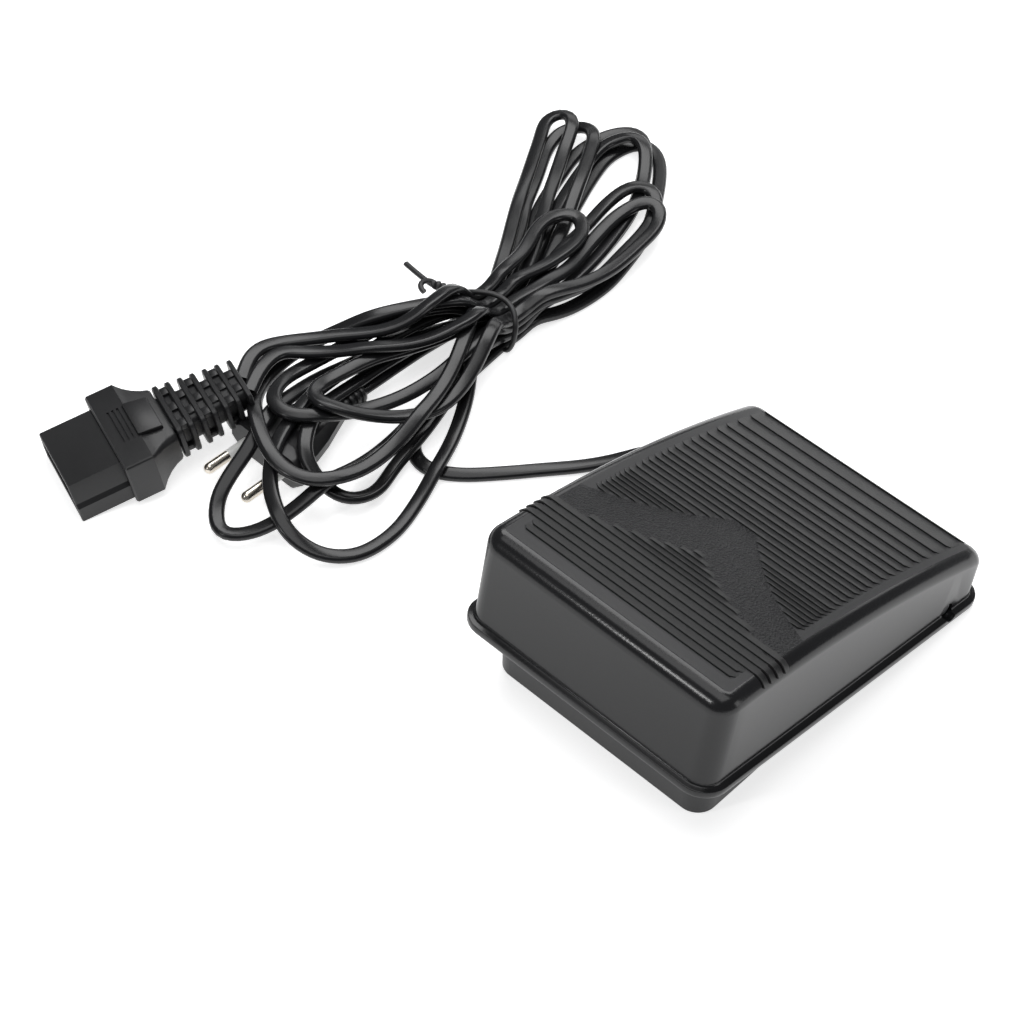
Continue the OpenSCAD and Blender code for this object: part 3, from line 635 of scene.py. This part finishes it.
cutters = [bar("bore", 2.05, -60, 60, hinge_at),
           bar("gland_gap", 5.4, 45.8, 60, raised((0, 14, 0.5))),
           block("gland_slot", (45.8, 8.6, -10), (60, 19.4, 0.5), raised)]
for side in (-1, 1):
    near, far = sorted((side * 47.9, side * 60))
    cutters.append(bar("arch_round", 2.8, near, far, hinge_at))
    cutters.append(block("arch_leg", (near, -2.8, -1.45), (far, 2.8, 0), raised))
carve(cover, cutters, 40)
note = cover.data.attributes.new("plan", "FLOAT_VECTOR", "POINT")
for v in cover.data.vertices:
    x, y, z = rest_turn.inverted() @ (v.co * 1000 - hinge_at)
    note.data[v.index].vector = (x, y - cover_mid, float(abs(z - tread(y)) < 0.05))
ships_with(cover, "cover", "cover_plastic", "pedal_cover")


# ---- Tread ribs --------------------------------------------------------------
# Moulded in one with the cover: each rib is a low step that faces the toe and slopes away towards
# the heel. The outer field stops at the chevron, and four of the inner ribs run over both edges.
rib_high = 0.5
rib_share = 0.82
field_half = 41.8


def rib_line(x0, x1, wrap):
    """Places across the cover: x, fall below the tread, and the way out."""
    count = max(3, int((x1 - x0) / 1.4))
    line = [(x0 + (x1 - x0) * k / count, 0.0, 0.0, 1.0) for k in range(count + 1)]
    if wrap:
        over = [(44.6 + edge_r * math.cos(a), edge_r * (1 - math.sin(a)), math.cos(a), math.sin(a))
                for a in (math.radians(90 - 8 * k) for k in range(1, 9))]
        line = ([(-x, f, -nx, nz) for x, f, nx, nz in reversed(over)] + line + over)
    return line


def skin(y):
    """Height of the tread, with the rounding at the heel."""
    over = max(0.0, heel_y - y)
    return tread(y) - corner_r + math.sqrt(corner_r ** 2 - over * over)


def tread_rib(y, x0, x1, run, wrap):
    """Rings along one rib, which sinks into the tread, or into the walls, at its ends."""
    rings = []
    for x, fall, nx, nz in rib_line(x0, x1, wrap):
        if wrap:
            curl = 0.0 if fall < 3.8 else 1.0
        else:
            curl = max(0.0, 1 - min(x - x0, x1 - x) / 1.5) ** 2
        h = rib_high * (1 - 0.8 * curl)
        back = 1.2 * curl if abs(x) > 40 and not wrap else 0.0
        ring = []
        for dy, up in ((0, -0.4), (0, h - 0.13), (-0.05, h - 0.04), (-0.15, h),
                       (-run * 0.5, h * 0.42), (-run, 0.01), (-run, -0.4)):
            at = y - back * (1 if dy > -run * 0.5 else 0.3) + dy
            ring.append(raised((x + nx * up, at, skin(at) - fall + nz * up)))
        rings.append(ring)
    return rings


rib_verts, rib_faces = [], []


def add_rib(rings):
    first, n = len(rib_verts), len(rings[0])
    rib_verts.extend(p for ring in rings for p in ring)
    rib_faces.extend(strips(rings, first))
    rib_faces.append(tuple(first + k for k in range(n)))
    rib_faces.append(tuple(first + (len(rings) - 1) * n + k for k in range(n)))


place = -63.5
outer_gaps = (8.4, 7.6, 6.3, 5.4, 5.5, 4.3, 4.4, 4.3, 4.3, 3.7, 3.3, 3.3, 3.3, 3.2, 3.2, 3.3,
              2.3, 2.3, 2.1, 2.3, 2.3, 2.3, 2.2, 2.3)
for i, gap in enumerate((2.4,) + outer_gaps):
    place += gap if i else 0
    t = place - 2.5
    half = 0 if t < 0 else 5 + t * (outer_slope + outer_bend * t * t)
    spans = [(-field_half, -half), (half, field_half)] if half else [(-field_half, field_half)]
    for x0, x1 in spans:
        if x1 - x0 > 2:
            add_rib(tread_rib(cover_mid + place, x0, x1, gap * rib_share, False))
place = 24.9
for i, gap in enumerate((2.3, 2.3, 2.3, 2.2, 2.5, 2.3, 2.9, 3.2, 3.4, 3.3, 3.2, 3.3, 3.2)):
    place += gap if i else 0
    t = place - 23.9
    wrap = i in (7, 8, 9, 10)
    half = 44.6 if wrap else min(field_half, max(2.0, t * (inner_slope + inner_bend * t)))
    add_rib(tread_rib(cover_mid + place, -half, half, gap * rib_share, wrap))
tread_black = finish("tread_matt_black", (0.013, 0.013, 0.0135), 0.46, 1700, 0.00012, spread=0.12)
ribs = solid("tread_ribs", rib_verts, rib_faces, tread_black, 25)
ships_with(ribs, "cover", "cover_plastic")


# ---- Machine connector -------------------------------------------------------
# Black moulded PVC: a hollow stepped nose that fits the machine's inlet, a square grip with a
# finger pad, drawn-in shoulders, and a flexible boot of staggered windows.
connector_turn = (Matrix.Rotation(math.radians(-18.7), 3, "Z")
                  @ Matrix.Rotation(math.radians(-9.2), 3, "X"))


def on_connector(p):
    return Vector((193, 92.3, 10.5)) + connector_turn @ Vector(p)


def rounded(w, h, r, steps=5):
    """A rounded rectangle about the origin, as points round it."""
    return [(sx * (w / 2 - r) + r * math.cos(a), sz * (h / 2 - r) + r * math.sin(a))
            for sx, sz, turn in ((1, 1, 0), (-1, 1, 90), (-1, -1, 180), (1, -1, 270))
            for a in (math.radians(turn + 90 * k / steps) for k in range(steps + 1))]


moulded_black = finish("moulded_black", (0.014, 0.014, 0.015), 0.36, 900, 0.00003)
grip_rings = []
for y, w, h, r in ((0, 36.8, 16.8, 0.6), (-0.6, 38, 18, 1), (-10.2, 38, 18, 1),
                   (-10.8, 37, 17.2, 1.2), (-12.6, 33.6, 15.8, 1.6), (-15, 30, 14.8, 2),
                   (-17.6, 27.4, 14.0, 2.4), (-20, 26, 13.4, 2.6), (-20.7, 25, 12.6, 2.6)):
    grip_rings.append([on_connector((x, y, z)) for x, z in rounded(w, h, r)])
grip = loft("connector_grip", grip_rings, moulded_black, 30)
grooves = [block("groove", (-7.6, y - 0.4, 8.5), (7.6, y + 0.4, 12), on_connector)
           for y in (-4.2, -5.95, -7.7)]
carve(grip, grooves, 30)
ships_with(grip, "base", "plug_pvc", "connector_body")
pad_verts = [on_connector(p) for p in (
    (-7.7, -9.4, 6), (7.7, -9.4, 6), (7.4, -18.6, 5.6), (-7.4, -18.6, 5.6),
    (-7.7, -9.6, 10.1), (7.7, -9.6, 10.1), (7.4, -18.2, 8.5), (-7.4, -18.2, 8.5))]
pad = solid("connector_pad", pad_verts, box_faces, moulded_black, bevel=0.3)
ships_with(pad, "base", "plug_pvc")

nose_line = ((-13.5, 7.5), (13.5, 7.5), (15.7, 1.4), (15.9, 0.2), (17.1, -1.2), (17.1, -7.5),
             (-17.1, -7.5), (-17.1, -1.2), (-15.9, 0.2), (-15.7, 1.4))


def nose_ring(y, inset):
    sx, sz = 1 - inset / 17.1, 1 - inset / 7.5
    return [on_connector((x * sx, y, z * sz)) for x, z in nose_line]


nose_rings = [nose_ring(-0.6, 0), nose_ring(18.7, 0), nose_ring(19, 0.3), nose_ring(19, 1.7),
              nose_ring(18.7, 2), nose_ring(2, 2)]
nose = loft("connector_nose", nose_rings, moulded_black, 20)
ships_with(nose, "base", "plug_pvc")

core_rings = [[on_connector((x, y, z)) for x, z in rounded(w, h, r)]
              for y, w, h, r in ((-20.4, 18, 11.4, 3), (-35, 16, 10.4, 3), (-49.6, 14, 9.4, 3),
                                 (-50.1, 13, 8.6, 3))]
core = loft("connector_boot_core", core_rings, moulded_black)
ships_with(core, "base", "plug_pvc", "connector_boot")


def rib_group():
    """Repeats the object's own mesh at even steps, growing smaller to the last."""
    tree = bpy.data.node_groups.new("stepped_ribs", "GeometryNodeTree")
    face = tree.interface
    face.new_socket("Geometry", in_out="INPUT", socket_type="NodeSocketGeometry")
    face.new_socket("Count", in_out="INPUT", socket_type="NodeSocketInt")
    face.new_socket("Step", in_out="INPUT", socket_type="NodeSocketVector")
    face.new_socket("Shrink", in_out="INPUT", socket_type="NodeSocketFloat")
    face.new_socket("Material", in_out="INPUT", socket_type="NodeSocketMaterial")
    face.new_socket("Geometry", in_out="OUTPUT", socket_type="NodeSocketGeometry")
    new, link = tree.nodes.new, tree.links.new
    given, out = new("NodeGroupInput"), new("NodeGroupOutput")
    row = new("GeometryNodeMeshLine")
    row.mode = "OFFSET"
    index = new("GeometryNodeInputIndex")
    scale = new("ShaderNodeMath")
    scale.operation = "MULTIPLY_ADD"
    scale.inputs[2].default_value = 1.0
    put = new("GeometryNodeInstanceOnPoints")
    real = new("GeometryNodeRealizeInstances")
    paint = new("GeometryNodeSetMaterial")
    link(given.outputs["Count"], row.inputs["Count"])
    link(given.outputs["Step"], row.inputs["Offset"])
    link(index.outputs["Index"], scale.inputs[0])
    link(given.outputs["Shrink"], scale.inputs[1])
    link(row.outputs["Mesh"], put.inputs["Points"])
    link(given.outputs["Geometry"], put.inputs["Instance"])
    link(scale.outputs[0], put.inputs["Scale"])
    link(put.outputs["Instances"], real.inputs["Geometry"])
    link(real.outputs["Geometry"], paint.inputs["Geometry"])
    link(given.outputs["Material"], paint.inputs["Material"])
    link(paint.outputs["Geometry"], out.inputs["Geometry"])
    return tree


stepped_ribs = rib_group()


def rib_row(name, w, h, r, thick, count, step, shrink, to_world, start):
    """A row of flat rounded ribs, built about the origin and then put where it belongs."""
    rings = [[(x * s, y, z * s) for x, z in rounded(w, h, r)]
             for y, s in ((thick / 2, 0.95), (thick / 2 - 0.35, 1), (-thick / 2 + 0.35, 1),
                          (-thick / 2, 0.95))]
    obj = loft(name, rings, moulded_black, 50)
    mod = obj.modifiers.new("repeat", "NODES")
    mod.node_group = stepped_ribs
    mod[socket_of(stepped_ribs, "Count")] = count
    mod[socket_of(stepped_ribs, "Step")] = (0.0, -step * 0.001, 0.0)
    mod[socket_of(stepped_ribs, "Shrink")] = -shrink
    mod[socket_of(stepped_ribs, "Material")] = moulded_black
    plain_mesh(obj)
    for v in obj.data.vertices:
        v.co = to_world(Vector((v.co.x * 1000, v.co.y * 1000 + start, v.co.z * 1000))) * 0.001
    obj.data.shade_smooth()
    obj.data.set_sharp_from_angle(angle=math.radians(35))
    return obj


boot_step = 4.43
boot_shrink = 0.033
boot_ribs = rib_row("connector_boot_ribs", 25, 14.4, 2.4, 2.1, 7, boot_step, boot_shrink,
                    on_connector, -22.4)
ships_with(boot_ribs, "base", "plug_pvc")
bridge_verts, bridge_faces = [], []
for i in range(6):
    y = -24.6 - i * boot_step
    s = 1 - boot_shrink * (i + 0.5)
    for x in ((-4.3, 4.3) if i % 2 else (-8.2, 0, 8.2)):
        for up in (1, -1):
            low, high = sorted((up * 4.4 * s, up * 6.7 * s))
            n = len(bridge_verts)
            bridge_verts += [on_connector((x * s + dx, y + dy, z)) for z in (low, high)
                             for dx, dy in ((-1.7, -1.3), (1.7, -1.3), (1.7, 1.3), (-1.7, 1.3))]
            bridge_faces += [tuple(n + k for k in f) for f in box_faces]
bridges = solid("connector_boot_bridges", bridge_verts, bridge_faces, moulded_black, bevel=0.25)
ships_with(bridges, "base", "plug_pvc")


# ---- Mains plug --------------------------------------------------------------
# Two-pin plug moulded on the cord: finger wings at the face, a body that narrows to a ribbed
# relief, nickel-plated pins and white insulating sleeves.
def on_plug(p):
    return plug_at + Vector(p)


def lozenge(w, h, flat):
    half = [(w / 2, -1.6), (w / 2, 1.6), (w / 2 - 1, 2.6), (flat / 2 + 1.2, h / 2 - 0.5),
            (flat / 2, h / 2), (0, h / 2)]
    ring = half + [(-x, z) for x, z in reversed(half[:-1])]
    return ring + [(x, -h / 2) for x in (-flat / 2, 0, flat / 2)]


shell_rings = [[on_plug((x, y, z)) for x, z in lozenge(w, h, flat)]
               for y, w, h, flat in (
                   (0, 34.2, 12.6, 24), (-0.5, 35.3, 13.6, 25), (-5, 35.3, 13.6, 25),
                   (-5.6, 34.4, 13.2, 24.6), (-5.8, 28, 13, 19), (-12, 26, 12.6, 17),
                   (-19, 21.6, 11.8, 13.6), (-26, 15.6, 10.6, 9), (-31.5, 11, 9.2, 6),
                   (-33, 9, 7.4, 4.6), (-43.6, 7.4, 6, 3.6), (-44.4, 6.6, 5.2, 3.2))]
shell = loft("plug_shell", shell_rings, moulded_black, 32)
ships_with(shell, "base", "plug_pvc", "plug_body")
relief = rib_row("plug_relief_ribs", 10.4, 8.2, 2.6, 1.5, 4, 2.7, 0.05, on_plug, -34.4)
ships_with(relief, "base", "plug_pvc")


# ---- Twist tie ---------------------------------------------------------------
# Plastic-covered wire, once round the neck of the bundle, its ends twisted together on top and
# left standing out to the side.
tie_black = finish("tie_black", (0.02, 0.02, 0.021), 0.4, 1200, 0.00003)
tie_points = ((161.6, -43, 4), (162.6, -43.2, 9), (161.4, -43.8, 13.4),
              (157.5, -46, 15.2), (152, -49.4, 15.6), (146.5, -50.4, 15.4),
              (141.5, -49, 14.9), (137.6, -46.4, 12.8), (136.4, -44.6, 8.6),
              (136.8, -43.6, 4.2), (139, -43.2, 1.2), (145, -44, 0.9),
              (151, -44.6, 0.9), (157, -44, 0.9), (160.4, -43.2, 1.4))


def closed_curve(points, steps):
    """A smooth closed line through the points."""
    n = len(points)
    out = []
    for i in range(n):
        a, b, c, d = (Vector(points[(i + k) % n]) for k in (-1, 0, 1, 2))
        for k in range(steps):
            t = k / steps
            out.append(0.5 * (2 * b + (c - a) * t + (2 * a - 5 * b + 4 * c - d) * t * t
                              + (3 * b - a - 3 * c + d) * t ** 3))
    return out


tie = swept("tie_band", closed_curve(tie_points, 6), 2.0, 1.7, 0.8, tie_black, loop=True)
ships_with(tie, "base", "cord_pvc", "twist_tie")
for number in (0, 1):
    twist = []
    for k in range(41):
        t = k / 40
        a = t * 5.5 * math.pi + number * math.pi
        grow = 1.0 if t < 0.85 else 1 + (t - 0.85) * 3
        twist.append((160.2 + 11 * t, -41.6 + 0.85 * grow * math.cos(a) + 2.4 * t,
                      15.4 - 0.9 * t + 0.85 * math.sin(a)))
    end = twist[-1]
    if number == 0:
        twist += [(end[0] + 16 * k / 10, end[1] - 1.8 * (k / 10) ** 1.5, end[2] - 0.8 * k / 10)
                  for k in range(1, 11)]
    else:
        twist += [(end[0] + 3.4 * math.sin(a), end[1] + 2.4 * (1 - math.cos(a)), end[2] - 0.5 * a)
                  for a in (0.35 * k for k in range(1, 10))]
    strand = swept(f"tie_end_{number}", twist, 2.1, 1.6, 0.75, tie_black)
    ships_with(strand, "base", "cord_pvc")


# ---- Pieces kept as the CAD has them -----------------------------------------
# The base and its feet, the hinge pin, the strain relief, the plug's pins and sleeves, the
# connector's insert and contacts, and everything inside the pedal. Each takes its own material.
kept = {
    "base_plastic": finish("base_black", (0.017, 0.017, 0.018), 0.42, 800, 0.00004),
    "rubber": finish("rubber_black", (0.016, 0.016, 0.016), 0.75, 1100, 0.00008),
    "cord_pvc": cord_black,
    "plug_pvc": moulded_black,
    "sleeve_white": finish("sleeve_white", (0.78, 0.78, 0.76), 0.4, 900, 0.00002, spread=0.04),
    "steel": finish("zinc_steel", (0.55, 0.55, 0.57), 0.32, 1500, 0.00002, 1.0),
    "nickel": finish("nickel_plate", (0.62, 0.57, 0.5), 0.22, 1500, 0.00001, 1.0, 0.1),
    "brass": finish("brass_plain", (0.6, 0.43, 0.18), 0.35, 1300, 0.00002, 1.0),
    "aluminium": finish("aluminium_mill", (0.6, 0.61, 0.63), 0.4, 1000, 0.00003, 1.0),
    "board_green": finish("board_green", (0.02, 0.12, 0.05), 0.35, 500, 0.00005),
    "acetal": finish("acetal_white", (0.75, 0.73, 0.66), 0.45, 700, 0.00003, spread=0.06),
    "capacitor_yellow": finish("film_yellow", (0.6, 0.36, 0.04), 0.3, 600, 0.00003),
    "capacitor_blue": finish("sleeve_blue", (0.03, 0.05, 0.2), 0.35, 700, 0.00003),
    "resistor_tan": finish("lacquer_tan", (0.5, 0.36, 0.2), 0.35, 900, 0.00003),
    "copper": finish("copper_enamel", (0.55, 0.22, 0.08), 0.3, 1800, 0.0001, 0.9),
    "ferrite": finish("ferrite_grey", (0.05, 0.05, 0.055), 0.6, 1000, 0.00006),
    "epoxy_black": finish("epoxy_black", (0.015, 0.015, 0.015), 0.3, 900, 0.00003),
    "wire_brown": finish("wire_brown", (0.16, 0.06, 0.02), 0.4, 900, 0.00003),
}
slot_of = {part["node"]: part["material_slot"] for part in frame["record"]["subparts"]}
for name, obj in frame["nodes"].items():
    if obj.hide_render:
        continue
    obj.data.materials.clear()
    obj.data.materials.append(kept[slot_of[name]])
    obj.data.shade_smooth()
    obj.data.set_sharp_from_angle(angle=math.radians(32))
